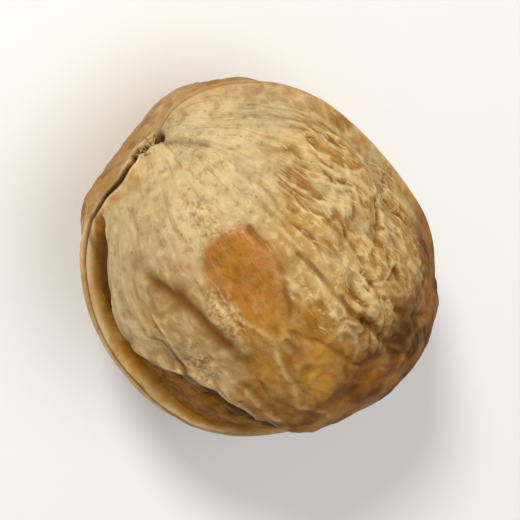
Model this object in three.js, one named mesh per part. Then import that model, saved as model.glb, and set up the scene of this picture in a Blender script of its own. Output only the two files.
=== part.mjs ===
// A whole walnut in its shell, lying on one cheek, in millimetres with +Z up.
// The stem end points along -X and the tip along +X. The seam's plane lies level.
// Places on the shell are given by two angles in degrees: from the stem end, and round from the seam
// on the -Y side, through the upper cheek at 90. The lower cheek has negative angles.

import * as THREE from 'three';
import { mergeVertices } from 'three/addons/utils/BufferGeometryUtils.js';

// Size of the plain form under the relief, from its centre
const HALF_LENGTH = 20.5;
const HALF_WIDTH = 18.1;
const HALF_HEIGHT = 17.55;
const TAPER = -0.01;

// Grid of the shell: rows lie close together at the seam
const STEPS_PER_QUARTER = 28;
const ROWS_ACROSS_SEAM = 36;
const SEAM_CROWDING = 1.45;

// Broad swells and flats that set the outline: place, then radius and rise
const SWELLS = [
  { at: [88, 183], radius: 13, rise: -2.2 },
  { at: [46, -34], radius: 7, rise: 1.0 },
  { at: [25, -64], radius: 7, rise: -1.9 },
  { at: [36, -106], radius: 6, rise: 0.6 },
  { at: [138, 52], radius: 9, rise: -0.7 },
  { at: [134, 158], radius: 9, rise: 0.8 },
];

// The raised seam ridge that runs round the nut. On the -Y side it rises off the level plane,
// by [degrees from the stem end, rise].
const KEEL_HEIGHT = 0.95;
const KEEL_HALF_WIDTH = 1.3;
const SEAM_RISE = [
  [2, 0], [9, 1.4], [15, 2.7], [20, 2.9], [28, 1.9], [36, 0.6], [46, 0], [66, 0.7],
  [92, 2.0], [122, 2.8], [150, 1.4], [174, 0],
];
const SEAM_WANDER = 0.45;
const SEAM_DEPTH = 0.35;
const SEAM_HALF_WIDTH = 0.32;
const SUTURE_SHIFT = 0.6;
const VALLEY_DEPTH = 0.4;
const VALLEY_OFFSET = 3.4;
const VALLEY_HALF_WIDTH = 1.7;

// The trough beside the seam, under the edge of the upper cheek, which runs by
// [degrees from the stem end, degrees round from the seam], and the fold that crosses it
const LIP = [
  [18, 16], [28, 11], [36, 14], [43, 19], [55, 19], [64, 20], [72, 24], [78, 30],
  [85, 40], [92, 47], [104, 50], [118, 51], [140, 47], [160, 30], [174, 6],
];
const LIP_DEPTH = 1.05;
const LIP_EDGE = 0.8;
const LIP_ROLL = 0.45;
const LIP_WAVE = 0.55;
const FOLD = [[73, 10], [79, 19], [85, 31], [89, 40]];
const FOLD_HEIGHT = 0.6;
const FOLD_HALF_WIDTH = 0.9;

// Stem end and tip
const STEM_DIP = 1.1;
const STEM_RADIUS = 2.6;
const TIP_HEIGHT = 1.5;
const TIP_RADIUS = 2.4;

// Lumps, and the net of raised veins and furrows: spacing across and along the nut, half width
// as a share of the noise, height, and the seed of the draw
const LUMPS = [
  { spacing: 10.5, height: 0.95, seed: 3 },
  { spacing: 5.2, height: 0.42, seed: 4 },
];
const VEINS = [
  { across: 3.3, along: 10, halfWidth: 0.34, height: 0.6, seed: 31 },
  { across: 2.3, along: 6.5, halfWidth: 0.42, height: 0.35, seed: 32 },
];
const FURROWS = [
  { across: 3.5, along: 9, halfWidth: 0.34, height: 0.5, seed: 34 },
];
const SOFT_HEIGHT = 0.3;
const GRAIN_HEIGHT = 0.14;

// The flat spot that the nut lies on
const REST_CUT = 0.4;
const REST_FADE = 7.5;

// Creases: a route, then half width and depth
const CREASES = [
  { route: [[51, 46], [56, 52], [61, 57], [68, 60], [76, 61], [85, 64]], halfWidth: 0.9, depth: 0.5 },
  { route: [[53, 95], [61, 95], [68, 93], [73, 91], [80, 87], [84, 83]], halfWidth: 0.7, depth: 0.35 },
  { route: [[70, 100], [78, 101], [86, 101], [93, 101], [98, 103]], halfWidth: 0.7, depth: 0.45 },
  { route: [[61, 132], [69, 134]], halfWidth: 0.7, depth: 0.4 },
  { route: [[82, 139], [86, 131], [88, 121]], halfWidth: 0.8, depth: 0.5 },
  { route: [[98, 124], [105, 123]], halfWidth: 0.8, depth: 0.5 },
  { route: [[100, 103], [106, 105], [114, 106], [122, 107], [130, 111]], halfWidth: 0.8, depth: 0.7 },
  { route: [[87, 82], [95, 87], [106, 90], [115, 91]], halfWidth: 0.7, depth: 0.4 },
  { route: [[84, 67], [96, 62], [110, 58]], halfWidth: 0.7, depth: 0.35 },
  { route: [[98, 52], [112, 52], [124, 60]], halfWidth: 0.7, depth: 0.3 },
  { route: [[5, 75], [13, 112], [26, 113]], halfWidth: 0.9, depth: 0.35 },
  { route: [[108, 115], [118, 122], [128, 132]], halfWidth: 0.8, depth: 0.5 },
];

// Hollows: place, then radius and depth
const HOLLOWS = [
  { at: [2, 80], radius: 0.9, depth: 0.9 },
  { at: [8, 38], radius: 0.9, depth: 1.0 },
  { at: [13, 34], radius: 0.9, depth: 0.6 },
  { at: [61, 152], radius: 1.4, depth: 0.6 },
  { at: [88, 31], radius: 1.3, depth: 0.7 },
  { at: [100, 37], radius: 1.4, depth: 1.0 },
  { at: [102, 100], radius: 2.0, depth: 0.7 },
  { at: [62, 78], radius: 3.6, depth: 0.3 },
];

// Creases of the lower cheek, drawn at random
const WILD_CREASES = 22;
const WILD_SEED = 41;

const SHELL_COLOUR = 0xb98f5a;
const DEGREE = Math.PI / 180;

// Smooth step from 0 at a to 1 at b
function smooth(a, b, x) {
  const k = Math.min(Math.max((x - a) / (b - a), 0), 1);
  return k * k * (3 - 2 * k);
}

// Bell curve of height 1
function bell(x, width) {
  return Math.exp(-((x / width) ** 2));
}

// Repeatable random number from 0 to 1 for a whole-numbered place
function lattice(i, j, k, seed) {
  let h = Math.imul(i, 374761393) + Math.imul(j, 668265263);
  h = h + Math.imul(k, 1440662683) + Math.imul(seed, 974634777);
  h = Math.imul(h ^ (h >>> 13), 1274126177);
  return ((h ^ (h >>> 16)) >>> 0) / 4294967296;
}

// Smooth noise from -1 to 1, with its own spacing along the nut's third axis
function noise(point, spacing, seed, spacingAlong = spacing) {
  const at = [point.x / spacing, point.y / spacing, point.z / spacingAlong];
  const low = at.map(Math.floor);
  const part = at.map((value, n) => smooth(0, 1, value - low[n]));
  let sum = 0;
  for (let corner = 0; corner < 8; corner += 1) {
    const step = [corner & 1, (corner >> 1) & 1, corner >> 2];
    const share = step.reduce((product, high, n) => product * (high ? part[n] : 1 - part[n]), 1);
    sum += share * lattice(low[0] + step[0], low[1] + step[1], low[2] + step[2], seed);
  }
  return 2 * sum - 1;
}

// Point of the plain form, from a unit direction
function plainPoint(q) {
  const narrow = 1 - TAPER * q.x;
  return new THREE.Vector3(HALF_LENGTH * q.x, HALF_WIDTH * narrow * q.y, HALF_HEIGHT * narrow * q.z);
}

// Point of the plain form, from the two angles in degrees
function atAngles([fromStem, fromSeam]) {
  const a = fromStem * DEGREE;
  const b = fromSeam * DEGREE;
  const ring = Math.sin(a);
  return plainPoint(new THREE.Vector3(-Math.cos(a), -ring * Math.cos(b), ring * Math.sin(b)));
}

// Value of a path of [degrees from the stem end, value], eased between its knots
function follow(path, fromStem) {
  if (fromStem <= path[0][0]) return path[0][1];
  for (let i = 1; i < path.length; i += 1) {
    const [t0, v0] = path[i - 1];
    const [t1, v1] = path[i];
    if (fromStem <= t1) return v0 + (v1 - v0) * smooth(t0, t1, fromStem);
  }
  return path[path.length - 1][1];
}

// Distance from a point to a route of points
function routeDistance(point, route) {
  const closest = new THREE.Vector3();
  let best = Infinity;
  for (let i = 1; i < route.length; i += 1) {
    new THREE.Line3(route[i - 1], route[i]).closestPointToPoint(point, true, closest);
    best = Math.min(best, closest.distanceTo(point));
  }
  return best;
}

// Random lengthwise creases on the lower cheek
function wildCreases() {
  const creases = [];
  for (let i = 0; i < WILD_CREASES; i += 1) {
    const draw = (n) => lattice(i, n, 0, WILD_SEED);
    const start = 35 + 75 * draw(0);
    const side = 195 + 150 * draw(1);
    const reach = 16 + 26 * draw(2);
    const drift = 14 * (draw(3) - 0.5);
    const bend = 8 * (draw(4) - 0.5);
    const route = [[start, side], [start + reach / 2, side + drift / 2 + bend], [start + reach, side + drift]];
    creases.push({ route, halfWidth: 0.8 + 0.5 * draw(5), depth: 0.5 + 0.6 * draw(6) });
  }
  return creases;
}

const creases = [...CREASES, ...wildCreases()].map((crease) => ({ ...crease, points: crease.route.map(atAngles) }));
const hollows = HOLLOWS.map((hollow) => ({ ...hollow, point: atAngles(hollow.at) }));
const swells = SWELLS.map((swell) => ({ ...swell, point: atAngles(swell.at) }));
const foldPoints = FOLD.map(atAngles);

// What the relief needs to know about one direction
function placeOf(q) {
  const point = plainPoint(q);
  const fromStem = Math.acos(Math.min(Math.max(-q.x, -1), 1)) / DEGREE;
  const turn = Math.atan2(q.z, -q.y);
  const front = q.y < 0 ? 1 : 0;
  const wander = SEAM_WANDER * noise(new THREE.Vector3(point.x, point.y, 0), 7, 5);
  return {
    point,
    fromStem,
    fromSeam: turn / DEGREE,
    ring: Math.sin(fromStem * DEGREE),
    front,
    offSeam: point.z - wander - front * follow(SEAM_RISE, fromStem),
    along: new THREE.Vector3(
      HALF_WIDTH * Math.cos(turn), HALF_WIDTH * Math.sin(turn), HALF_LENGTH * fromStem * DEGREE),
  };
}

// Height of the seam ridge, its groove and the valleys beside it
function seamRelief({ fromStem, offSeam, front }) {
  const ends = smooth(4, 22, fromStem) * smooth(180, 166, fromStem);
  const keel = KEEL_HEIGHT * (0.75 + 0.25 * ends) / (1 + (offSeam / KEEL_HALF_WIDTH) ** 4);
  const gape = 1 + 2.0 * front * bell(fromStem - 24, 12);
  const shift = front * SUTURE_SHIFT * smooth(26, 46, fromStem) * smooth(174, 150, fromStem);
  const groove = SEAM_DEPTH * gape * bell(offSeam - shift, SEAM_HALF_WIDTH * Math.sqrt(gape));
  const valley = VALLEY_DEPTH * bell(Math.abs(offSeam) - VALLEY_OFFSET, VALLEY_HALF_WIDTH) * ends;
  return keel - groove - valley;
}

// The trough beside the seam and the rolled edge of the cheek above it
function troughRelief({ point, fromStem, fromSeam, ring, offSeam }) {
  if (fromSeam < 0 || fromSeam > 120) return 0;
  const plainEdge = (fromSeam - follow(LIP, fromStem)) * DEGREE * ring * HALF_HEIGHT;
  const edge = plainEdge + LIP_WAVE * noise(point, 4.6, 7);
  const reach = smooth(22, 38, fromStem) * smooth(158, 122, fromStem) * (0.62 + 0.38 * smooth(56, 84, fromStem));
  const depth = LIP_DEPTH * (0.85 + 0.35 * noise(point, 4.2, 9));
  const floor = depth * smooth(0.9, 2.2, offSeam) * smooth(LIP_EDGE, -LIP_EDGE, edge);
  const roll = LIP_ROLL * bell(edge - 1.2, 1.1);
  const fold = bell(routeDistance(point, foldPoints), FOLD_HALF_WIDTH) * smooth(1.2, 2.4, offSeam);
  return reach * (roll - floor) + FOLD_HEIGHT * fold;
}

// Thin lines of one kind, where the noise passes zero
function netLines(kinds, point, at) {
  return kinds.reduce((total, { across, along, halfWidth, height, seed }) => {
    const strength = smooth(-0.5, 0.45, noise(point, 2.2 * across, seed + 100));
    return total + height * strength * bell(noise(at, across, seed, along), halfWidth);
  }, 0);
}

// The net of veins and furrows, which runs along the nut
function netRelief({ point, along }) {
  const broadWarp = new THREE.Vector3(...[21, 22, 23].map((seed) => noise(point, 4.4, seed)));
  const fineWarp = new THREE.Vector3(...[24, 25, 26].map((seed) => noise(point, 1.9, seed)));
  const at = along.clone().addScaledVector(broadWarp, 1.5).addScaledVector(fineWarp, 0.5);
  return netLines(VEINS, point, at) - netLines(FURROWS, point, at) + SOFT_HEIGHT * noise(at, 3.4, 36, 7);
}

// How strongly the net shows: weak on the shoulder by the stem end and on the smooth patches
function netStrength({ fromStem, fromSeam }) {
  const shoulder = smooth(66, 44, fromStem) * (fromSeam > 0 ? 1 : 0.5);
  const smallPatch = smooth(1.15, 0.8, Math.hypot((fromStem - 62) / 14, (fromSeam - 82) / 14));
  const largePatch = smooth(1.15, 0.8, Math.hypot((fromStem - 106) / 40, (fromSeam - 72) / 25));
  const cheek = fromSeam > 0 ? 1 : 1.25;
  return cheek * (1 - 0.7 * shoulder) * (1 - 0.85 * smallPatch) * (1 - 0.3 * largePatch);
}

// Whole relief of the shell at a unit direction
function relief(q) {
  const place = placeOf(q);
  const { point, fromStem, ring } = place;
  const seamFade = smooth(1.2, 5.5, Math.abs(point.z));
  const strength = netStrength(place);

  let height = seamRelief(place) + troughRelief(place);
  for (const { spacing, height: size, seed } of LUMPS) {
    height += size * noise(point, spacing, seed) * seamFade;
  }
  const net = netRelief(place) * smooth(0.3, 0.85, ring) * strength;
  const grain = GRAIN_HEIGHT * noise(place.along, 1.7, 51, 6) * smooth(0.2, 0.75, ring);
  height += (net + grain) * (0.15 + 0.85 * seamFade);
  for (const swell of swells) {
    height += swell.rise * bell(point.distanceTo(swell.point), swell.radius);
  }
  for (const hollow of hollows) {
    height -= hollow.depth * bell(point.distanceTo(hollow.point), hollow.radius);
  }
  height -= Math.max(...creases.map(({ points, halfWidth, depth }) => (
    depth * bell(routeDistance(point, points), halfWidth)
  )));
  height -= STEM_DIP * bell(fromStem * DEGREE * HALF_WIDTH, STEM_RADIUS);
  height += TIP_HEIGHT * bell((180 - fromStem) * DEGREE * HALF_WIDTH, TIP_RADIUS);

  const fromRest = q.z < 0 ? Math.hypot(point.x, point.y) : Infinity;
  return height * smooth(REST_FADE / 3, REST_FADE, fromRest);
}

// Unit direction for a place on the grid box, with rows crowded at the seam
function gridDirection(x, y, z) {
  const across = Math.sign(z) * Math.abs(z) ** SEAM_CROWDING;
  const spread = [x, y, across].map((value) => Math.tan(value * Math.PI / 4));
  return new THREE.Vector3(...spread).normalize();
}

// The shell as one closed skin
function shellGeometry() {
  const n = STEPS_PER_QUARTER;
  let geometry = new THREE.BoxGeometry(2, 2, 2, n, n, ROWS_ACROSS_SEAM);
  geometry.deleteAttribute('normal');
  geometry.deleteAttribute('uv');
  geometry = mergeVertices(geometry, 1e-5);
  const position = geometry.attributes.position;
  const floor = REST_CUT - HALF_HEIGHT;
  for (let i = 0; i < position.count; i += 1) {
    const q = gridDirection(position.getX(i), position.getY(i), position.getZ(i));
    const outward = new THREE.Vector3(q.x / HALF_LENGTH, q.y / HALF_WIDTH, q.z / HALF_HEIGHT).normalize();
    const p = plainPoint(q).addScaledVector(outward, relief(q));
    position.setXYZ(i, p.x, p.y, Math.max(p.z, floor));
  }
  return geometry;
}

// Stand the shell on the flat spot, with the origin under the middle of its box
function stand(geometry) {
  geometry.computeBoundingBox();
  const box = geometry.boundingBox;
  const middle = box.getCenter(new THREE.Vector3());
  geometry.translate(-middle.x, -middle.y, -box.min.z);
  return geometry;
}

const shellMaterial = new THREE.MeshStandardMaterial({ color: SHELL_COLOUR, roughness: 0.62, metalness: 0 });
const shell = new THREE.Mesh(stand(shellGeometry()), shellMaterial);
shell.name = 'walnut_shell';

const group = new THREE.Group();
group.add(shell);
export default group;
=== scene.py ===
import math
import bpy
import numpy as np
from mathutils import Matrix, Vector


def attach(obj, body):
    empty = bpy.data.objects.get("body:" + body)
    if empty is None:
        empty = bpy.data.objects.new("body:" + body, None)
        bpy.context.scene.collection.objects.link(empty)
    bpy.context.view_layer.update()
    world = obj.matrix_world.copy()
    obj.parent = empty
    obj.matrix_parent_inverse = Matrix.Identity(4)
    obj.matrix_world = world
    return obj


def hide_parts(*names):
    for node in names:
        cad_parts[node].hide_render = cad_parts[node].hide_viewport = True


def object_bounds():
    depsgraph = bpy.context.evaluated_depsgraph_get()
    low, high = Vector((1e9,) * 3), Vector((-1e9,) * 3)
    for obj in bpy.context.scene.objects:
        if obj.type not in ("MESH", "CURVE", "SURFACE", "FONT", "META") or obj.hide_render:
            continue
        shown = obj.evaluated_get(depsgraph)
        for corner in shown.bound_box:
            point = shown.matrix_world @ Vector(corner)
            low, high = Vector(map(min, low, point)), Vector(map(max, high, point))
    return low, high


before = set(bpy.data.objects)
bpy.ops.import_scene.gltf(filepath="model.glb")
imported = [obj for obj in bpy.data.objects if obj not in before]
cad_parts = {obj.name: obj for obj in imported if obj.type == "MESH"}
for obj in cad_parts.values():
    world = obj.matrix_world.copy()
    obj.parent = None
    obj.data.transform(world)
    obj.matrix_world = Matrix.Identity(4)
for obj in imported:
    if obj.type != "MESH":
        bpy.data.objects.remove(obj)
cad_low, cad_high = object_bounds()

# The nut's shell
# A closed woody shell, grown in two halves that meet at a raised seam. It bears a net of low ridges,
# lengthwise creases and small pits, strong towards the tip and faint on the shoulder by the stem end.

# The plain form, in millimetres until the mesh is made, and the grid that it is built on
MM = 0.001
DEGREE = math.pi / 180
HALF_LENGTH = 20.5
HALF_WIDTH = 18.1
HALF_HEIGHT = 17.55
HALF_SIZE = np.array((HALF_LENGTH, HALF_WIDTH, HALF_HEIGHT))
TAPER = -0.01
COLUMNS = 128
ROWS_ABOVE = 78
ROWS_BELOW = 52
SEAM_CROWDING = 1.45


def smooth(start, end, value):
    """0 at the start and 1 at the end, eased between them."""
    share = np.clip((value - start) / (end - start), 0, 1)
    return share * share * (3 - 2 * share)


def bell(away, width):
    """1 at no distance, and nearly 0 at twice the width."""
    return np.exp(-((away / width) ** 2))


def at_least(least, share):
    """A share from 0 to 1, squeezed so that it never falls below the least."""
    return least + (1 - least) * share


# Multipliers of the hash that all random draws come from
HASH_FACTORS = (374761393, 668265263, 1440662683, 974634777)
HASH_MIX = 1274126177
WORD = 0xFFFFFFFF


def lattice(i, j, k, seed):
    """A fixed random number from 0 to 1 for a place on a whole-number lattice."""
    mixed = sum(part * factor for part, factor in zip((i, j, k, seed), HASH_FACTORS)) & WORD
    mixed = ((mixed ^ (mixed >> 13)) * HASH_MIX) & WORD
    return (mixed ^ (mixed >> 16)) / (WORD + 1)


def noise(points, spacing, seed):
    """Random values from -1 to 1 that change smoothly over the spacing."""
    at = points / np.asarray(spacing)
    low = np.floor(at).astype(np.int64)
    share = smooth(0, 1, at - low)
    total = 0
    for corner in range(8):
        offset = np.array((corner & 1, (corner >> 1) & 1, corner >> 2))
        weight = np.prod(np.where(offset, share, 1 - share), axis=1)
        total = total + weight * lattice(*(low + offset).T, seed)
    return 2 * total - 1


def grid_box():
    """Directions and quads of a box grid round the nut, with rows crowded at the seam."""
    level = np.linspace(-1, 1, COLUMNS + 1)
    below = -np.linspace(1, 0, ROWS_BELOW + 1)[:-1] ** SEAM_CROWDING
    above = np.linspace(0, 1, ROWS_ABOVE + 1) ** SEAM_CROWDING
    tall = np.concatenate((below, above))
    points, quads, count = [], [], 0
    for axis in range(3):
        for side in (-1, 1):
            others = [n for n in range(3) if n != axis]
            first, second = (tall if n == 2 else level for n in others)
            face = np.zeros((len(first), len(second), 3))
            face[..., axis] = side
            face[..., others[0]], face[..., others[1]] = np.meshgrid(first, second, indexing="ij")
            ids = np.arange(len(first) * len(second)).reshape(len(first), len(second)) + count
            ring = [ids[:-1, :-1], ids[1:, :-1], ids[1:, 1:], ids[:-1, 1:]]
            winding = side if axis != 1 else -side
            quads.append(np.stack(ring[::winding], axis=-1).reshape(-1, 4))
            points.append(face.reshape(-1, 3))
            count += ids.size
    points, quads = np.concatenate(points), np.concatenate(quads)
    _, keep, merged = np.unique(np.round(points, 7), axis=0, return_index=True, return_inverse=True)
    directions = np.tan(points[keep] * math.pi / 4)
    directions /= np.linalg.norm(directions, axis=1, keepdims=True)
    return directions, merged.reshape(-1)[quads]


def plain_point(direction):
    """Point of the plain tapered form in a direction from its middle."""
    narrow = 1 - TAPER * direction[..., :1]
    return HALF_SIZE * direction * np.concatenate((np.ones_like(narrow), narrow, narrow), axis=-1)


def at_angles(down, turn):
    """Point of the plain form at degrees down from the stem end and degrees turned from the seam."""
    down, turn = down * DEGREE, turn * DEGREE
    ring = math.sin(down)
    return plain_point(np.array((-math.cos(down), -ring * math.cos(turn), ring * math.sin(turn))))


directions, quads = grid_box()
plain = plain_point(directions)
stem_angle = np.arccos(np.clip(-directions[:, 0], -1, 1))
seam_turn = np.arctan2(directions[:, 2], -directions[:, 1])
ring = np.sin(stem_angle)
front = directions[:, 1] < 0
# Degrees down from the stem end, and degrees turned from the front seam up over the upper cheek
down = stem_angle / DEGREE
turn = seam_turn / DEGREE
# Coordinates that run round the nut and along it, for what follows its length
lengthwise = np.stack((
    HALF_WIDTH * np.cos(seam_turn), HALF_WIDTH * np.sin(seam_turn), HALF_LENGTH * stem_angle), axis=1)


def follow(path):
    """Value at every point of a path of (degrees down, value), eased between its knots."""
    value = np.full(len(down), float(path[0][1]))
    for (start, before), (end, after) in zip(path[:-1], path[1:]):
        value = np.where(down > start, before + (after - before) * smooth(start, end, down), value)
    return value


def stretch(start, full, fading, end):
    """1 on a stretch of the nut's length and 0 before and after it, in degrees down."""
    return smooth(start, full, down) * smooth(end, fading, down)


def uneven(kinds, points=plain):
    """Sum of noises, each given as its height, its spacing and its seed."""
    return sum(height * noise(points, spacing, seed) for height, spacing, seed in kinds)


def sway(spacing, seed):
    """Random pushes in three directions, which bend lines that would run straight."""
    return np.stack([noise(plain, spacing, seed + axis) for axis in range(3)], axis=1)


def region(middle_down, middle_turn, reach_down, reach_turn, seed, edge=0.25):
    """A patch with a ragged edge, from 0 outside to 1 inside, its middle and reach in degrees."""
    away = np.hypot((down - middle_down) / reach_down, (turn - middle_turn) / reach_turn)
    return smooth(1.15, 0.8, away + edge * uneven([(1, 3.1, seed), (0.5, 1.2, seed + 1)]))


# Raised seam ridge with its groove, gaping near the stem end, and a valley on each side
SEAM_RISE = [
    (2, 0), (9, 1.4), (15, 2.7), (20, 2.9), (28, 1.9), (36, 0.6), (46, 0), (66, 0.7), (92, 2.0),
    (122, 2.8), (150, 1.4), (174, 0),
]
SEAM_WANDER = [(0.45, 7, 5), (0.12, 2.4, 6)]
KEEL_HEIGHT = 0.95
KEEL_HALF_WIDTH = 1.3
KEEL_AT_ENDS = 0.75
KEEL_STRETCH = (4, 22, 166, 180)
GROOVE_DEPTH = 0.45
GROOVE_HALF_WIDTH = 0.2
GROOVE_SHIFT = 0.6
GROOVE_SHIFT_STRETCH = (26, 46, 150, 174)
GAP_MIDDLE = 24
GAP_REACH = 12
GAP_WIDENING = 2.0
RIM_HEIGHT = 0.22
RIM_OFFSET = 0.52
RIM_HALF_WIDTH = 0.26
VALLEY_DEPTH = 0.4
VALLEY_OFFSET = 3.4
VALLEY_HALF_WIDTH = 1.7

off_seam = plain[:, 2] - uneven(SEAM_WANDER, plain * (1, 1, 0)) - np.where(front, follow(SEAM_RISE), 0)
off_groove = off_seam - np.where(front, GROOVE_SHIFT * stretch(*GROOVE_SHIFT_STRETCH), 0)
clear_of_ends = stretch(*KEEL_STRETCH)
gaping = 1 + np.where(front, GAP_WIDENING * bell(down - GAP_MIDDLE, GAP_REACH), 0)
keel = KEEL_HEIGHT * at_least(KEEL_AT_ENDS, clear_of_ends) / (1 + (off_seam / KEEL_HALF_WIDTH) ** 4)
rims = bell(np.abs(off_groove) - RIM_OFFSET, RIM_HALF_WIDTH)
groove = bell(off_groove, GROOVE_HALF_WIDTH * gaping)
valley = VALLEY_DEPTH * bell(np.abs(off_seam) - VALLEY_OFFSET, VALLEY_HALF_WIDTH) * clear_of_ends
seam_relief = keel + RIM_HEIGHT * rims - GROOVE_DEPTH * np.sqrt(gaping) * groove - valley

# Trough beside the seam, and the rolled lip of the cheek above it
LIP = [
    (18, 16), (28, 11), (36, 14), (43, 19), (55, 19), (64, 20), (72, 24), (78, 30), (85, 40), (92, 47),
    (104, 50), (118, 51), (140, 47), (160, 30), (174, 6),
]
LIP_WANDER = [(0.55, 4.6, 7), (0.35, 1.9, 8)]
LIP_HALF_WIDTH = 0.45
ROLL_HEIGHT = 0.45
ROLL_OFFSET = 1.2
ROLL_HALF_WIDTH = 1.1
TROUGH_DEPTH = 1.05
TROUGH_AT_STEM = 0.62
TROUGH_STRETCH = (22, 38, 122, 158)

from_lip = (turn - follow(LIP)) * DEGREE * ring * HALF_HEIGHT + uneven(LIP_WANDER)
beside = (turn > 0) & (turn < 120)
trough_reach = stretch(*TROUGH_STRETCH) * at_least(TROUGH_AT_STEM, smooth(56, 84, down)) * beside
trough_floor = smooth(0.9, 2.2, off_seam) * smooth(LIP_HALF_WIDTH, -LIP_HALF_WIDTH, from_lip)
trough = trough_reach * trough_floor
roll = trough_reach * ROLL_HEIGHT * bell(from_lip - ROLL_OFFSET, ROLL_HALF_WIDTH)
trough_relief = roll - TROUGH_DEPTH * trough * (0.85 + 0.35 * noise(plain, 4.2, 9))

# A low fold of the shell that crosses the trough
FOLD = [(73, 10), (79, 19), (85, 31), (89, 40)]
FOLD_HEIGHT = 0.6
FOLD_HALF_WIDTH = 0.8
ROUTE_SWAY = 0.35
wavy = plain + ROUTE_SWAY * sway(2.3, 71)


def from_route(route):
    """Millimetres to an uneven line through places given at two angles."""
    knots = [at_angles(*angles) for angles in route]
    best = np.full(len(wavy), np.inf)
    for start, end in zip(knots[:-1], knots[1:]):
        span = end - start
        part = np.clip((wavy - start) @ span / (span @ span), 0, 1)
        best = np.minimum(best, np.linalg.norm(wavy - start - part[:, None] * span, axis=1))
    return best


fold = bell(from_route(FOLD), FOLD_HALF_WIDTH) * smooth(1.2, 2.4, off_seam)
fold = fold * (0.75 + 0.5 * noise(plain, 1.7, 74))
trough_relief = trough_relief + FOLD_HEIGHT * fold

# Parts of the shell: the smooth amber side, the worn shoulder, and the coarse side with the full net
# Middle down and turned, then reach down and turned, or paths of them for the long amber part
AMBER_PATCH = (62, 82, 14, 14)
COARSE_SIDE = (88, 128, 42, 36)
AMBER_MIDDLE = [(60, 82), (82, 76), (106, 67), (140, 74)]
AMBER_REACH = [(60, 8), (80, 16), (106, 27), (140, 32)]
SHOULDER_CALM = 0.8
PATCH_CALM = 0.9
AMBER_CALM = 0.3
amber_patch = region(*AMBER_PATCH, seed=61, edge=0.2)
amber_low = region(106, follow(AMBER_MIDDLE), 42, follow(AMBER_REACH), seed=63, edge=0.3)
shoulder = smooth(66, 44, down + 6 * noise(plain, 6, 65) + 10 * smooth(95, 125, turn))
shoulder = shoulder * np.where(turn > 0, 1, 0.5)
coarse = smooth(0, 1, 1.2 * noise(plain, 9, 66) + 0.55) * (turn < 0)
coarse = coarse + region(*COARSE_SIDE, seed=67) * (turn > 0)
# How far the low relief shows beside these parts, the seam and the two ends
calm = (1 - SHOULDER_CALM * shoulder) * (1 - PATCH_CALM * amber_patch) * (1 - AMBER_CALM * amber_low)
seam_fade = smooth(1.2, 5.5, np.abs(plain[:, 2]))
on_side = smooth(0.3, 0.85, ring)

# The net: thin raised veins and narrow furrows that part and meet again along the nut
# Spacing across and along, half width and height, and the seed of the draw
VEINS = [(3.3, 10.0, 0.3, 0.2, 31), (2.3, 6.5, 0.26, 0.16, 32), (1.6, 4.5, 0.22, 0.12, 33)]
FURROWS = [(3.5, 9.0, 0.34, 0.24, 34), (2.1, 5.5, 0.27, 0.18, 35), (1.5, 4.0, 0.22, 0.12, 37)]
SOFT_LUMP_HEIGHT = 0.24
NET_STRENGTH = 0.75
NET_STRENGTH_ADDED = 0.35
NET_SWAY = 1.5
NET_FINE_SWAY = 0.5
SLOPE_STEP = 0.1
LEAST_SLOPE = 0.06
at_net = lengthwise + NET_SWAY * sway(4.4, 21) + NET_FINE_SWAY * sway(1.9, 24)


def line_distance(points, spacing, seed):
    """Millimetres to the winding lines where a noise passes zero."""
    value = noise(points, spacing, seed)
    rises = [noise(points + push, spacing, seed) - value for push in SLOPE_STEP * np.eye(3)]
    return np.abs(value) / (np.linalg.norm(rises, axis=0) / SLOPE_STEP + LEAST_SLOPE)


def net_lines(kinds, patchy):
    """Height of all lines of the net's kinds, each of which fades out in patches."""
    total = np.zeros(len(down))
    for across, along, half_width, height, seed in kinds:
        strength = smooth(-patchy, 0.45, noise(plain, 2.2 * across, seed + 100))
        away = line_distance(at_net, (across, across, along), seed)
        total = total + height * strength * bell(away, half_width)
    return total


veins = net_lines(VEINS, patchy=0.6)
furrows = net_lines(FURROWS, patchy=0.35)
net = (veins - furrows) * (NET_STRENGTH + NET_STRENGTH_ADDED * coarse)
net = net + SOFT_LUMP_HEIGHT * noise(at_net, (3.4, 3.4, 7.0), 36)

# Lengthwise grain: soft furrows and fine wrinkles that run from the stem end to the tip
GRAIN_HEIGHT = 0.11
WRINKLES = [(0.035, (1.1, 1.1, 3.4), 52), (0.02, (0.6, 0.6, 1.8), 53)]
WRINKLE_CREST = 0.6
WRINKLE_SHARPNESS = 2.2
DIMPLES = [(0.13, 2.7, 57), (0.07, 1.3, 58)]
bent = lengthwise + sway(2.6, 54)
grain_relief = GRAIN_HEIGHT * noise(bent, (1.7, 1.7, 6.0), 51)
for wrinkle_height, spacing, seed in WRINKLES:
    wrinkle = WRINKLE_CREST - WRINKLE_SHARPNESS * np.abs(noise(bent, spacing, seed))
    grain_relief = grain_relief + wrinkle_height * wrinkle

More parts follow.
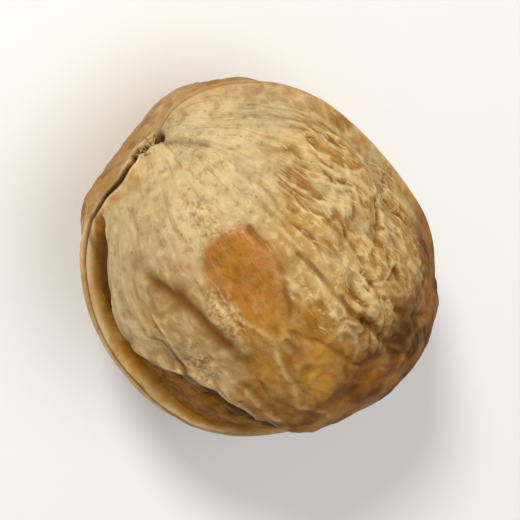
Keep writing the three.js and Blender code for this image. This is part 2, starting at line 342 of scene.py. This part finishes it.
# Creases: a route at two angles, then half width and depth
CREASES = [
    ([(51, 46), (56, 52), (61, 57), (68, 60), (76, 61), (85, 64)], 0.6, 0.45),
    ([(53, 49), (59, 55), (65, 60)], 0.3, 0.35),
    ([(66, 58), (73, 62), (80, 61)], 0.3, 0.35),
    ([(48, 52), (52, 58)], 0.3, 0.25),
    ([(53, 95), (61, 95), (68, 93), (73, 91), (80, 87), (84, 83)], 0.36, 0.42),
    ([(85, 82), (88, 83), (92, 86), (104, 90), (115, 91)], 0.32, 0.42),
    ([(87, 79), (94, 79), (101, 78)], 0.45, 0.38),
    ([(70, 100), (78, 101), (86, 101), (93, 101), (98, 103)], 0.45, 0.45),
    ([(61, 132), (69, 134)], 0.5, 0.35),
    ([(82, 139), (86, 131), (88, 121)], 0.6, 0.45),
    ([(98, 124), (105, 123)], 0.6, 0.5),
    ([(100, 103), (106, 105), (114, 106), (122, 107), (130, 111)], 0.5, 0.6),
    ([(87, 82), (95, 87), (106, 90), (115, 91)], 0.26, 0.35),
    ([(41, 66), (46, 69)], 0.25, 0.3),
    ([(30, 37), (38, 48)], 0.35, 0.25),
    ([(5, 75), (13, 112), (26, 113)], 0.8, 0.3),
    ([(84, 67), (96, 62), (110, 58)], 0.28, 0.3),
    ([(98, 52), (112, 52), (124, 60)], 0.35, 0.3),
    ([(108, 115), (118, 122), (128, 132)], 0.5, 0.4),
]
# Creases that are drawn at random where the photo doesn't show the shell: the least and the most
# of their start down and turned, their length, drift and bend in degrees, their half width and depth
WILD_CREASES = 22
WILD_SEED = 41
WILD_RANGES = [(35, 110), (195, 345), (16, 42), (-7, 7), (-4, 4), (0.45, 0.8), (0.5, 1.1)]
creases = list(CREASES)
for i in range(WILD_CREASES):
    start, side, length, drift, bend, half_width, depth = (
        least + (most - least) * lattice(i, n, 0, WILD_SEED) for n, (least, most) in enumerate(WILD_RANGES))
    route = [(start, side), (start + length / 2, side + drift / 2 + bend), (start + length, side + drift)]
    creases.append((route, half_width, depth))
cut = np.max([depth * bell(from_route(route), half_width) for route, half_width, depth in creases], axis=0)
cut = cut * (0.8 + 0.45 * noise(plain, 2.4, 59))

# Thin raised welts on the smooth amber side
WELT_HALF_WIDTH = 0.28
WELT_HEIGHT = 0.15
WELTS = [
    [(69, 68), (76, 73), (84, 76), (86, 80)],
    [(84, 76), (90, 73), (103, 70), (112, 66)],
    [(85, 56), (94, 56), (103, 56), (114, 58)],
    [(112, 66), (122, 70), (132, 68)],
]
welt = np.max([bell(from_route(route), WELT_HALF_WIDTH) for route in WELTS], axis=0)


def spot(points, angles, radius):
    """1 at a place given at two angles, fading out round it."""
    return bell(np.linalg.norm(points - at_angles(*angles), axis=1), radius)


# Hollows: place at two angles, then radius and depth
HOLLOWS = [
    ((2, 80), 0.6, 1.1), ((8, 38), 0.6, 1.2), ((13, 34), 0.6, 0.6),
    ((61, 152), 1.3, 0.6), ((55, 121), 2.0, 0.2), ((88, 31), 1.2, 0.7),
    ((100, 37), 1.3, 1.1), ((102, 100), 1.9, 0.45), ((62, 78), 3.6, 0.3),
]
dent = sum(depth * spot(wavy, angles, radius) for angles, radius, depth in HOLLOWS)

# Broad swells and flats: place at two angles, then radius and height
SWELLS = [
    ((88, 183), 13, -2.2), ((46, -34), 7, 1.0), ((25, -64), 7, -1.9),
    ((36, -106), 6, 0.6), ((138, 52), 9, -0.7), ((134, 158), 9, 0.8),
]
swell = sum(rise * spot(plain, angles, radius) for angles, radius, rise in SWELLS)

# Pores: small round pits, thick in the coarse parts
PORE_SPACING = 1.7
PORE_RADIUS = 0.2
PORE_RADIUS_ADDED = 0.16
PORE_DEPTH = 0.12
SITES_WITHOUT_PORE = 0.6
PORES_ELSEWHERE = 0.35
PORE_SEED = 81


def nearest_site(at, seed):
    """Distance to the nearest of one random site in each unit cell, and that site's own number."""
    low = np.floor(at).astype(np.int64)
    nearest = np.full(len(at), np.inf)
    number = np.zeros(len(at))
    for offset in np.ndindex(3, 3, 3):
        cell = low + np.array(offset) - 1
        site = np.stack([lattice(*cell.T, seed + n) for n in range(3)], axis=1)
        gap = np.linalg.norm(cell + site - at, axis=1)
        number = np.where(gap < nearest, site[:, 0], number)
        nearest = np.minimum(gap, nearest)
    return nearest, number


from_site, site_number = nearest_site(plain / PORE_SPACING, PORE_SEED)
pore = bell(from_site * PORE_SPACING, PORE_RADIUS + PORE_RADIUS_ADDED * site_number)
pore = pore * (site_number > SITES_WITHOUT_PORE) * at_least(PORES_ELSEWHERE, coarse)

# All the relief together, with the dip at the stem end, the blunt tip and the flat spot it lies on
LUMPS = [(0.95, 10.5, 3), (0.42, 5.2, 4)]
STEM_DIP = 1.1
STEM_DIP_RADIUS = 2.6
TIP_RISE = 1.5
TIP_RADIUS = 2.4
REST_CUT = 0.4
REST_INNER = 2.5
REST_OUTER = 7.5

fine_relief = net * on_side * calm + grain_relief * smooth(0.35, 0.9, ring) * at_least(0.25, calm)
fine_relief = (fine_relief + uneven(DIMPLES)) * at_least(0.15, seam_fade) * (1 - 0.15 * trough)
fine_relief = fine_relief - PORE_DEPTH * pore * calm
height = swell + uneven(LUMPS) * seam_fade + fine_relief - cut - dent + WELT_HEIGHT * welt
height = height + seam_relief + trough_relief
height = height - STEM_DIP * bell(stem_angle * HALF_WIDTH, STEM_DIP_RADIUS)
height = height + TIP_RISE * bell((math.pi - stem_angle) * HALF_WIDTH, TIP_RADIUS)
from_rest = np.where(directions[:, 2] < 0, np.hypot(plain[:, 0], plain[:, 1]), np.inf)
height = height * smooth(REST_INNER, REST_OUTER, from_rest)

outward = directions / HALF_SIZE
outward /= np.linalg.norm(outward, axis=1, keepdims=True)
skin = plain + outward * height[:, None]
skin[:, 2] = np.maximum(skin[:, 2], REST_CUT - HALF_HEIGHT)
skin = skin * MM
middle = (skin.min(axis=0) + skin.max(axis=0)) / 2
cad_middle = (np.array(cad_low) + np.array(cad_high)) / 2
skin += (cad_middle[0] - middle[0], cad_middle[1] - middle[1], cad_low[2] - skin[:, 2].min())

mesh = bpy.data.meshes.new("walnut")
mesh.from_pydata(skin, [], quads.tolist())
mesh.polygons.foreach_set("use_smooth", [True] * len(quads))
shell = bpy.data.objects.new("walnut", mesh)
bpy.context.scene.collection.objects.link(shell)

# Which points stand above or below those around them, for the wear on the ridges and the painted shade in the
# recesses
WEAR_AND_SHADE_ROUNDS = 4
WEAR_AND_SHADE_KEPT = 0.3
WEAR_AND_SHADE_RANGE = 0.16
pairs = np.concatenate([quads[:, (n, (n + 1) % 4)] for n in range(4)])
pairs = np.concatenate((pairs, pairs[:, ::-1]))
neighbours = np.bincount(pairs[:, 0], minlength=len(down))
around = height
for _ in range(WEAR_AND_SHADE_ROUNDS):
    beside_it = np.bincount(pairs[:, 0], around[pairs[:, 1]], len(down)) / neighbours
    around = WEAR_AND_SHADE_KEPT * around + (1 - WEAR_AND_SHADE_KEPT) * beside_it
proud = height - around


# Where each colour of the shell lies
def paint(name, values):
    """Store one value for each point of the mesh, for the material to read."""
    layer = mesh.attributes.new(name, "FLOAT", "POINT")
    layer.data.foreach_set("value", np.asarray(values, dtype=np.float32))


def spots(places):
    """The strongest of several spots, each given as its two angles and its radius."""
    return np.max([spot(wavy, angles, radius) for angles, radius in places], axis=0)


# The parts of the shell
paint("amber", np.clip(amber_patch + 0.9 * amber_low, 0, 1))
paint("polish", amber_patch)
paint("low", amber_low)
paint("pale", shoulder)
paint("coarse", coarse)
paint("dull", smooth(78, 36, turn) * (turn > 0) * smooth(14, 26, down) * (1 - trough))
# Towards the tip: the shell's own darker brown together with painted shade
paint("tipward", smooth(98, 126, down + 7 * noise(plain, 4, 68)) * at_least(0.45, smooth(70, 100, turn)))

# The low relief
# How far each point stands above its neighbours: pale wear on the ridges, painted shade in the recesses
paint("ridge", np.clip(0.5 + proud / WEAR_AND_SHADE_RANGE, 0, 1))
# Depth of the creases, hollows and pores, which the material darkens as painted shade
paint("pit", np.clip(np.minimum(cut, 0.42) / 0.6 + 0.9 * dent + 0.4 * pore, 0, 1))
paint("vein", np.clip(veins / 0.24, 0, 1) * on_side * calm)
paint("furrow", np.clip(furrows / 0.26, 0, 1) * on_side * calm)
paint("welt", welt)

# The groove, the seam ridge and its worn edges
paint("seam", groove * (0.6 + 0.2 * (gaping - 1)))
paint("keel", smooth(2.4, 1.2, np.abs(off_seam)) * clear_of_ends * np.where(front, 1, 0.3))
paint("edge", np.clip(rims, 0, 1) * front)
# Beside the seam: the bank below the lip, the trough's floor, the shade under the lip and its bright rim
BANK_STRETCH = (22, 40, 150, 172)
FLOOR_STRETCH = (20, 56, 146, 168)
UNDERCUT_STRETCH = (20, 32, 118, 140)
BRIM_STRETCH = (24, 34, 100, 128)
BRIM_OFFSET = 0.4
BRIM_HALF_WIDTH = 0.35
bank = smooth(0.6, 1.0, off_groove) * smooth(0.2, -0.3, from_lip)
undercut = smooth(0.25, -0.15, from_lip) * smooth(-3.4, -2.2, from_lip)
brim = bell(from_lip - BRIM_OFFSET, BRIM_HALF_WIDTH)
paint("bank", bank * stretch(*BANK_STRETCH) * beside)
paint("trough", trough_floor * stretch(*FLOOR_STRETCH) * beside)
paint("undercut", undercut * stretch(*UNDERCUT_STRETCH) * beside)
paint("brim", brim * stretch(*BRIM_STRETCH) * beside)
paint("fold", fold)
# Painted shade on the lower half, below the seam
below = np.where(front, smooth(0.4, 0.1, off_groove), smooth(2.5, -1.5, off_seam))
paint("shaded", below * smooth(64, 30, down + 8 * noise(plain, 4, 69)))

# Marks on the upper cheek with painted shade along its long crease, and painted shade in the holes in the
# trough and the pits at the stem end
# Painted shade along the long crease on the upper cheek
CREASE_SHADE = [(49, 44), (56, 52), (61, 58), (67, 61), (76, 61), (85, 63)]
CREASE_SHADE_HALF_WIDTH = 1.5
crease_shade = bell(from_route(CREASE_SHADE), CREASE_SHADE_HALF_WIDTH) * (0.7 + 0.6 * noise(plain, 1.6, 76))
paint("crease_shade", np.clip(crease_shade, 0, 1))
SCUFF = (56, 120, 7, 6)
paint("scuff", region(*SCUFF, seed=75, edge=0.5))
BEADED = [(70, 67, 8, 5), (82, 49, 8, 7), (43, 81, 8, 5)]
beaded = sum(region(*place, seed=77 + n, edge=0.4) for n, place in enumerate(BEADED))
paint("beaded", np.clip(beaded, 0, 1))
HOLES = [((88, 31), 1.1), ((98, 35), 1.0), ((103, 38), 1.2), ((109, 37), 0.9)]
paint("hole", spots(HOLES) * (0.75 + 0.6 * noise(plain, 1.3, 80)))
STEM_PITS = [((2, 80), 0.9), ((8, 38), 0.9), ((12, 34), 0.7)]
paint("stem", spots(STEM_PITS))
along = mesh.attributes.new("along", "FLOAT_VECTOR", "POINT")
along.data.foreach_set("vector", lengthwise.astype(np.float32).ravel())

# Colours of the shell
TAN = (0.410, 0.232, 0.070, 1)
PALE = (0.545, 0.425, 0.215, 1)
AMBER = (0.375, 0.148, 0.011, 1)
BROWN = (0.165, 0.061, 0.006, 1)
DARK = (0.036, 0.013, 0.002, 1)
RIDGE = (0.71, 0.52, 0.245, 1)
DULL = (0.350, 0.285, 0.140, 1)
ROSY = (0.450, 0.300, 0.150, 1)
GOLD = (0.420, 0.205, 0.035, 1)
# Painted shade in the recesses of the net
PAINTED_RECESS_SHADE = (0.230, 0.092, 0.006, 1)
OCHRE = (0.520, 0.250, 0.025, 1)
RUST = (0.245, 0.078, 0.010, 1)


def new_material(name):
    """A material with its nodes and links, which the helpers below write to."""
    made = bpy.data.materials.new(name)
    made.use_nodes = True
    return made, made.node_tree.nodes, made.node_tree.links


def read(name):
    """A value or a vector that is stored with the mesh."""
    node = nodes.new("ShaderNodeAttribute")
    node.attribute_name = name
    return node.outputs["Vector" if name == "along" else "Fac"]


def texture(scale, detail, vector, stretched=(1, 1, 1)):
    """A noise from 0 to 1, stretched by scaling the vector that it lies in."""
    place = nodes.new("ShaderNodeMapping")
    place.inputs["Scale"].default_value = stretched
    links.new(vector, place.inputs["Vector"])
    node = nodes.new("ShaderNodeTexNoise")
    node.inputs["Scale"].default_value = scale
    node.inputs["Detail"].default_value = detail
    links.new(place.outputs["Vector"], node.inputs["Vector"])
    return node.outputs["Fac"]


def remap(value, start, end, at_start=0.0, at_end=1.0):
    """A value eased from what it gives at the start of a range to what it gives at the end."""
    node = nodes.new("ShaderNodeMapRange")
    node.interpolation_type = "SMOOTHSTEP"
    links.new(value, node.inputs["Value"])
    for name, number in (("From Min", start), ("From Max", end), ("To Min", at_start), ("To Max", at_end)):
        node.inputs[name].default_value = number
    return node.outputs["Result"]


def calc(operation, *values, clamp=True):
    """One sum on sockets or numbers."""
    node = nodes.new("ShaderNodeMath")
    node.operation = operation
    node.use_clamp = clamp
    for socket, value in zip(node.inputs, values):
        if isinstance(value, (int, float)):
            socket.default_value = value
        else:
            links.new(value, socket)
    return node.outputs["Value"]


def coat(under, over, *shares):
    """One colour laid over another, as strongly as the shares say when they are multiplied."""
    strength = shares[0]
    for share in shares[1:]:
        strength = calc("MULTIPLY", strength, share)
    node = nodes.new("ShaderNodeMix")
    node.data_type = "RGBA"
    links.new(strength, node.inputs["Factor"])
    for socket, value in ((node.inputs["A"], under), (node.inputs["B"], over)):
        if isinstance(value, tuple):
            socket.default_value = value
        else:
            links.new(value, socket)
    return node.outputs["Result"]


def thread_lines(scale, stretched, width, detail):
    """Thin winding lines, where a noise passes its middle value."""
    away = calc("SUBTRACT", texture(scale, detail, along_nut, stretched), 0.5, clamp=False)
    return remap(calc("ABSOLUTE", away), width, 0.0)


material, nodes, links = new_material("walnut shell")
surface = nodes["Principled BSDF"]
coordinates = nodes.new("ShaderNodeTexCoord").outputs["Object"]
along_nut = read("along")

patches = texture(95, 2, coordinates)
blotch = texture(160, 3, coordinates)
smudge = texture(210, 3, coordinates)
mottle = texture(420, 4, coordinates)
grit = texture(1000, 3, coordinates)
speck = texture(1500, 2, coordinates)
fine_grit = texture(2300, 2, coordinates)
golden = texture(0.3, 2, along_nut, (1, 1, 0.5))
streak = texture(1.1, 4, along_nut, (1, 1, 0.16))
seam_streak = texture(1.3, 3, along_nut, (1, 1, 0.12))
hair = texture(3.2, 3, along_nut, (1, 1, 0.1))
rungs = texture(0.9, 2, along_nut, (0.3, 0.3, 2.4))
cracks = thread_lines(0.8, (1.1, 1.1, 0.4), width=0.03, detail=3)
long_threads = thread_lines(0.5, (1, 1, 0.25), width=0.03, detail=1.5)
short_threads = thread_lines(1.1, (1, 1, 0.3), width=0.045, detail=1.5)
threads = calc("MAXIMUM", calc("MULTIPLY", long_threads, 0.85), calc("MULTIPLY", short_threads, 0.6))
threads = calc("MULTIPLY", threads, remap(grit, 0.4, 0.55))
threads = calc("MULTIPLY", threads, remap(read("coarse"), 0, 1, 0.12, 1))

# The ground: tan wood, paler where it is worn, with amber and golden parts
colour = coat(TAN, PALE, remap(blotch, 0.38, 0.66))
colour = coat(colour, PALE, read("pale"), remap(mottle, 0.2, 0.5, 0.6, 1))
colour = coat(colour, ROSY, remap(patches, 0.5, 0.7, 0, 0.55))
colour = coat(colour, DULL, remap(patches, 0.5, 0.3, 0, 0.5))
colour = coat(colour, GOLD, read("coarse"), remap(golden, 0.38, 0.58, 0.2, 0.85))
colour = coat(colour, AMBER, read("amber"), remap(mottle, 0.25, 0.45, 0.7, 1))

# Streaks, grit and dust all over
colour = coat(colour, BROWN, remap(streak, 0.5, 0.7, 0, 0.3))
colour = coat(colour, BROWN, remap(mottle, 0.5, 0.3, 0, 0.22))
colour = coat(colour, BROWN, remap(grit, 0.47, 0.3, 0, 0.38))
colour = coat(colour, RIDGE, remap(grit, 0.53, 0.68, 0, 0.5), remap(read("amber"), 0, 1, 1, 0.15))
colour = coat(colour, DULL, remap(read("dull"), 0, 1, 0, 0.25))

# Painted shade in the recesses and along the furrows, dirt in the cracks, and wear on the ridges, veins and
# threads
contrast = remap(read("coarse"), 0, 1, 0.4, 1)
colour = coat(colour, PAINTED_RECESS_SHADE, remap(read("ridge"), 0.5, 0.0, 0, 0.75), contrast)
colour = coat(colour, BROWN, read("furrow"), remap(mottle, 0.3, 0.6, 0.6, 0.95))
colour = coat(colour, BROWN, cracks, remap(blotch, 0.45, 0.62, 0, 0.3))
colour = coat(colour, RIDGE, remap(read("ridge"), 0.5, 1.1, 0, 0.55), remap(read("amber"), 0, 1, 1, 0.2))
colour = coat(colour, RIDGE, read("vein"), remap(read("amber"), 0, 1, 0.6, 0.2))
colour = coat(colour, RIDGE, threads)

# Beads of dust, smudges on the amber side, specks, welts, the scuff and painted shade along the long crease
colour = coat(colour, RIDGE, read("beaded"), remap(fine_grit, 0.5, 0.64, 0, 0.35))
colour = coat(colour, BROWN, read("beaded"), remap(fine_grit, 0.5, 0.36, 0, 0.45))
colour = coat(colour, BROWN, read("low"), remap(smudge, 0.52, 0.68, 0, 0.4))
colour = coat(colour, OCHRE, read("low"), remap(smudge, 0.5, 0.34, 0, 0.6))
colour = coat(colour, BROWN, remap(speck, 0.66, 0.76, 0, 0.5))
colour = coat(colour, RIDGE, read("welt"), remap(grit, 0.35, 0.55, 0.1, 0.45))
colour = coat(colour, RUST, read("scuff"), remap(hair, 0.4, 0.6, 0.1, 0.7))
colour = coat(colour, BROWN, read("crease_shade"), remap(mottle, 0.3, 0.6, 0.55, 0.9))

# The bank between the seam and the lip, and the trough's floor with painted shade in its low spots
colour = coat(colour, AMBER, read("bank"), remap(blotch, 0.35, 0.65, 0.75, 0.35))
colour = coat(colour, BROWN, read("bank"), remap(seam_streak, 0.48, 0.56, 0, 0.65))
colour = coat(colour, OCHRE, read("bank"), remap(grit, 0.5, 0.64, 0, 0.5))
colour = coat(colour, AMBER, read("trough"), remap(blotch, 0.35, 0.65, 0.9, 0.5))
colour = coat(colour, BROWN, read("trough"), remap(rungs, 0.4, 0.65, 0.3, 0.65))
# Painted shade in the low spots of the trough's floor
colour = coat(colour, BROWN, read("trough"), remap(read("ridge"), 0.5, 0.0, 0, 0.6))

# The darker, redder tip half: partly the shell's own brown and partly painted shade
colour = coat(colour, RUST, remap(read("tipward"), 0, 1, 0, 0.92))
colour = coat(colour, DARK, read("tipward"), remap(smudge, 0.48, 0.6, 0, 0.8))
colour = coat(colour, OCHRE, read("tipward"), remap(smudge, 0.48, 0.34, 0, 0.6))
colour = coat(colour, TAN, read("tipward"), read("vein"), 0.5)

# Painted shade in the pits and creases, streaks on the trough's floor, and what frames the trough, with
# painted shade under the lip
# Painted shade in the pits and creases
colour = coat(colour, BROWN, remap(read("pit"), 0.15, 0.9, 0, 0.85))
colour = coat(colour, BROWN, read("trough"), remap(seam_streak, 0.5, 0.66, 0, 0.6))
colour = coat(colour, OCHRE, read("trough"), remap(grit, 0.5, 0.62, 0, 0.35))
# Painted shade under the lip
colour = coat(colour, DARK, remap(read("undercut"), 0.1, 1.0, 0, 0.8))
colour = coat(colour, PALE, read("fold"), 0.6)
colour = coat(colour, RIDGE, read("brim"), remap(grit, 0.4, 0.55, 0.15, 0.6))

# Painted shade on the lower half below the seam, and the seam ridge with its worn edges
colour = coat(colour, ROSY, read("shaded"), remap(blotch, 0.35, 0.6, 0.35, 0.8))
colour = coat(colour, AMBER, read("shaded"), remap(patches, 0.45, 0.6, 0.1, 0.6))
colour = coat(colour, BROWN, read("shaded"), remap(mottle, 0.5, 0.35, 0.1, 0.5))
colour = coat(colour, AMBER, read("keel"), remap(grit, 0.4, 0.6, 0.6, 0.25))
colour = coat(colour, RIDGE, read("edge"), remap(seam_streak, 0.42, 0.58, 0.25, 0.75))

# Painted shade: the dark insides of the holes, the stem pits, the deep pits and the gap in the seam
colour = coat(colour, DARK, remap(read("hole"), 0.1, 0.9, 0, 0.8))
colour = coat(colour, DARK, remap(read("stem"), 0.1, 0.8, 0, 0.85))
colour = coat(colour, DARK, remap(read("pit"), 0.8, 1.0, 0, 0.7))
colour = coat(colour, DARK, remap(read("seam"), 0.1, 0.7, 0, 0.95))
links.new(colour, surface.inputs["Base Color"])

# Dry wood all over but for the polished amber patch, and grain too fine for the mesh
DRY_ROUGHNESS = (0.62, 0.62, 0.62, 1)
POLISHED_ROUGHNESS = (0.3, 0.3, 0.3, 1)
DRY_SHINE = (0.06, 0.06, 0.06, 1)
POLISHED_SHINE = (0.35, 0.35, 0.35, 1)
BUMP_STRENGTH = 0.6
BUMP_HEIGHT = 0.15 * MM
links.new(coat(DRY_ROUGHNESS, POLISHED_ROUGHNESS, read("polish")), surface.inputs["Roughness"])
links.new(coat(DRY_SHINE, POLISHED_SHINE, read("polish")), surface.inputs["Specular IOR Level"])

fine_bump = nodes.new("ShaderNodeBump")
fine_bump.inputs["Strength"].default_value = BUMP_STRENGTH
fine_bump.inputs["Distance"].default_value = BUMP_HEIGHT
relief = calc("ADD", calc("MULTIPLY", grit, 0.9), calc("MULTIPLY", mottle, 0.4), clamp=False)
relief = calc("ADD", relief, calc("MULTIPLY", threads, 0.7), clamp=False)
relief = calc("SUBTRACT", relief, calc("MULTIPLY", cracks, 0.2), clamp=False)
links.new(relief, fine_bump.inputs["Height"])
links.new(fine_bump.outputs["Normal"], surface.inputs["Normal"])
mesh.materials.append(material)

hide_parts("walnut_shell")
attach(shell, "root")

# Dry fibres
# Short pale brown scraps of the stalk and the husk, still stuck across the pits at the stem end.
# Each one is a thin bent strand that tapers to its free end.
FIBRE_PATCH = (9, 40)
FIBRE_PATCH_RADIUS = 1.3
FIBRE_LENGTH = 1.1 * MM
FIBRE_RADIUS = 0.1 * MM
FIBRE_BEND = 0.35 * MM
FIBRE_POINTS = 8
FIBRE_SIDES = 5
FIBRE_NARROWING = 0.75
FIBRE_SCALES = (0.45, 1.2)
FIBRE_LEANS = (1.15, 1.5)
FULL_TURN = 6.283
FIBRES_PER_SQUARE_METRE = 2.2e6
FIBRE_DARK = (0.150, 0.070, 0.022, 1)
FIBRE_PALE = (0.400, 0.260, 0.115, 1)

in_patch = np.linalg.norm(plain - at_angles(*FIBRE_PATCH), axis=1) < FIBRE_PATCH_RADIUS
rooted = quads[in_patch[quads].all(axis=1)]
used, renumbered = np.unique(rooted, return_inverse=True)
fibre_mesh = bpy.data.meshes.new("stem_fibres")
fibre_mesh.from_pydata(skin[used], [], renumbered.reshape(-1, 4).tolist())
fibres = bpy.data.objects.new("stem_fibres", fibre_mesh)
bpy.context.scene.collection.objects.link(fibres)

fibre_material, nodes, links = new_material("dry fibre")
surface = nodes["Principled BSDF"]
surface.inputs["Roughness"].default_value = 0.85
surface.inputs["Specular IOR Level"].default_value = 0.1
coordinates = nodes.new("ShaderNodeTexCoord").outputs["Object"]
strand_shade = remap(texture(1800, 3, coordinates), 0.35, 0.65)
links.new(coat(FIBRE_DARK, FIBRE_PALE, strand_shade), surface.inputs["Base Color"])

tree = bpy.data.node_groups.new("fibres stuck in a patch", "GeometryNodeTree")
FIBRE_INPUTS = (
    ("Patch", "NodeSocketGeometry", None), ("Length", "NodeSocketFloat", FIBRE_LENGTH),
    ("Radius", "NodeSocketFloat", FIBRE_RADIUS), ("Bend", "NodeSocketFloat", FIBRE_BEND),
    ("Density", "NodeSocketFloat", FIBRES_PER_SQUARE_METRE), ("Seed", "NodeSocketInt", 5),
    ("Material", "NodeSocketMaterial", fibre_material))
sockets = {
    name: tree.interface.new_socket(name, in_out="INPUT", socket_type=kind) for name, kind, _ in FIBRE_INPUTS}
tree.interface.new_socket("Fibres", in_out="OUTPUT", socket_type="NodeSocketGeometry")
given = tree.nodes.new("NodeGroupInput").outputs


def step(kind, inputs, **settings):
    """A geometry node with its settings, and its inputs linked or set by name."""
    node = tree.nodes.new(kind)
    for name, value in settings.items():
        setattr(node, name, value)
    for name, value in inputs.items():
        if isinstance(value, bpy.types.NodeSocket):
            tree.links.new(value, node.inputs[name])
        else:
            node.inputs[name].default_value = value
    return node.outputs


roots = step("GeometryNodeDistributePointsOnFaces", {
    "Mesh": given["Patch"], "Density": given["Density"], "Seed": given["Seed"]})
top = step("ShaderNodeCombineXYZ", {"Z": given["Length"]})["Vector"]
line = step("GeometryNodeCurvePrimitiveLine", {"Start": (0, 0, 0), "End": top})["Curve"]
line = step("GeometryNodeResampleCurve", {"Curve": line, "Count": FIBRE_POINTS})["Curve"]
share = step("GeometryNodeSplineParameter", {})["Factor"]
squared = step("ShaderNodeMath", {0: share, 1: 2.0}, operation="POWER")["Value"]
aside = step("ShaderNodeMath", {0: squared, 1: given["Bend"]}, operation="MULTIPLY")["Value"]
offset = step("ShaderNodeCombineXYZ", {"Y": aside})["Vector"]
line = step("GeometryNodeSetPosition", {"Geometry": line, "Offset": offset})["Geometry"]
narrowing = step("ShaderNodeMath", {0: share, 1: -FIBRE_NARROWING, 2: 1.0}, operation="MULTIPLY_ADD")["Value"]
line = step("GeometryNodeSetCurveRadius", {"Curve": line, "Radius": narrowing})["Curve"]
outline = step("GeometryNodeCurvePrimitiveCircle", {
    "Resolution": FIBRE_SIDES, "Radius": given["Radius"]})["Curve"]
strand = step("GeometryNodeCurveToMesh", {"Curve": line, "Profile Curve": outline, "Fill Caps": True})["Mesh"]
lean = step("FunctionNodeRandomValue", {
    0: (FIBRE_LEANS[0], 0.0, 0.0), 1: (FIBRE_LEANS[1], 0.0, FULL_TURN), "Seed": given["Seed"],
}, data_type="FLOAT_VECTOR")[0]
lean = step("FunctionNodeEulerToRotation", {"Euler": lean})["Rotation"]
turned = step("FunctionNodeRotateRotation", {
    "Rotation": roots["Rotation"], "Rotate By": lean}, rotation_space="LOCAL")["Rotation"]
size = step("FunctionNodeRandomValue", {
    2: FIBRE_SCALES[0], 3: FIBRE_SCALES[1], "Seed": given["Seed"]}, data_type="FLOAT")[1]
strands = step("GeometryNodeInstanceOnPoints", {
    "Points": roots["Points"], "Instance": strand, "Rotation": turned, "Scale": size})["Instances"]
real = step("GeometryNodeRealizeInstances", {"Geometry": strands})["Geometry"]
real = step("GeometryNodeSetMaterial", {"Geometry": real, "Material": given["Material"]})["Geometry"]
tree.links.new(real, tree.nodes.new("NodeGroupOutput").inputs["Fibres"])

modifier = fibres.modifiers.new("fibres", "NODES")
modifier.node_group = tree
for name, _, value in FIBRE_INPUTS[1:]:
    modifier[sockets[name].identifier] = value
finished = fibres.evaluated_get(bpy.context.evaluated_depsgraph_get())
fibres.data = bpy.data.meshes.new_from_object(finished)
fibres.modifiers.clear()
fibres.data.name = "stem_fibres"
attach(fibres, "root")

# The floor, the light and the camera
# A plain pale floor under soft studio light, seen from over the stem end, as the nut lies in the photo.
FLOOR_REACH = 1.5
FLOOR_ROUGHNESS = 0.8
FLOOR_COLOUR = (0.93, 0.93, 0.92, 1)
SKY_COLOUR = (1.0, 0.99, 0.97, 1)
SKY_STRENGTH = 0.36

floor_mesh = bpy.data.meshes.new("floor")
corners = [(FLOOR_REACH * x, FLOOR_REACH * y, 0) for x, y in ((-1, -1), (1, -1), (1, 1), (-1, 1))]
floor_mesh.from_pydata(corners, [], [(0, 1, 2, 3)])
floor = bpy.data.objects.new("floor", floor_mesh)
bpy.context.scene.collection.objects.link(floor)
floor_material, nodes, links = new_material("pale floor")
nodes["Principled BSDF"].inputs["Base Color"].default_value = FLOOR_COLOUR
nodes["Principled BSDF"].inputs["Roughness"].default_value = FLOOR_ROUGHNESS
floor_mesh.materials.append(floor_material)

world = bpy.data.worlds.new("studio")
world.use_nodes = True
world.node_tree.nodes["Background"].inputs["Color"].default_value = SKY_COLOUR
world.node_tree.nodes["Background"].inputs["Strength"].default_value = SKY_STRENGTH
bpy.context.scene.world = world
bpy.context.scene.view_settings.view_transform = "Standard"

nut_middle = Vector(cad_middle)


def lamp(name, direction, distance, width, power, colour):
    """A round soft lamp that faces the middle of the nut."""
    light = bpy.data.lights.new(name, "AREA")
    light.shape = "DISK"
    light.size = width
    light.energy = power
    light.color = colour
    holder = bpy.data.objects.new(name, light)
    holder.location = nut_middle + Vector(direction).normalized() * distance
    holder.rotation_euler = Vector(direction).to_track_quat("Z", "Y").to_euler()
    bpy.context.scene.collection.objects.link(holder)


lamp("key", (-0.78, 0.16, 0.6), distance=0.6, width=0.12, power=2.5, colour=(1.0, 0.97, 0.92))
lamp("top", (-0.1, 0.3, 1.0), distance=0.8, width=0.6, power=2.0, colour=(1.0, 1.0, 1.0))

# Half from over the stem end, turned so that the stem end lies at the upper left as in the photo
BACK = Vector((-0.515, 0.0, 0.857))
UP = Vector((-0.657, 0.643, -0.394))
LENS = 150
DISTANCE = 0.232
AIM_UP = 0.0014
AIM_RIGHT = -0.0002
camera_data = bpy.data.cameras.new("camera")
camera_data.lens = LENS
camera_data.clip_start = 0.01
camera = bpy.data.objects.new("camera", camera_data)
back = BACK.normalized()
right = UP.cross(back).normalized()
up = back.cross(right)
aim = nut_middle + up * AIM_UP + right * AIM_RIGHT
turning = Matrix((right, up, back)).transposed().to_4x4()
camera.matrix_world = Matrix.Translation(aim + back * DISTANCE) @ turning
bpy.context.scene.collection.objects.link(camera)
bpy.context.scene.camera = camera
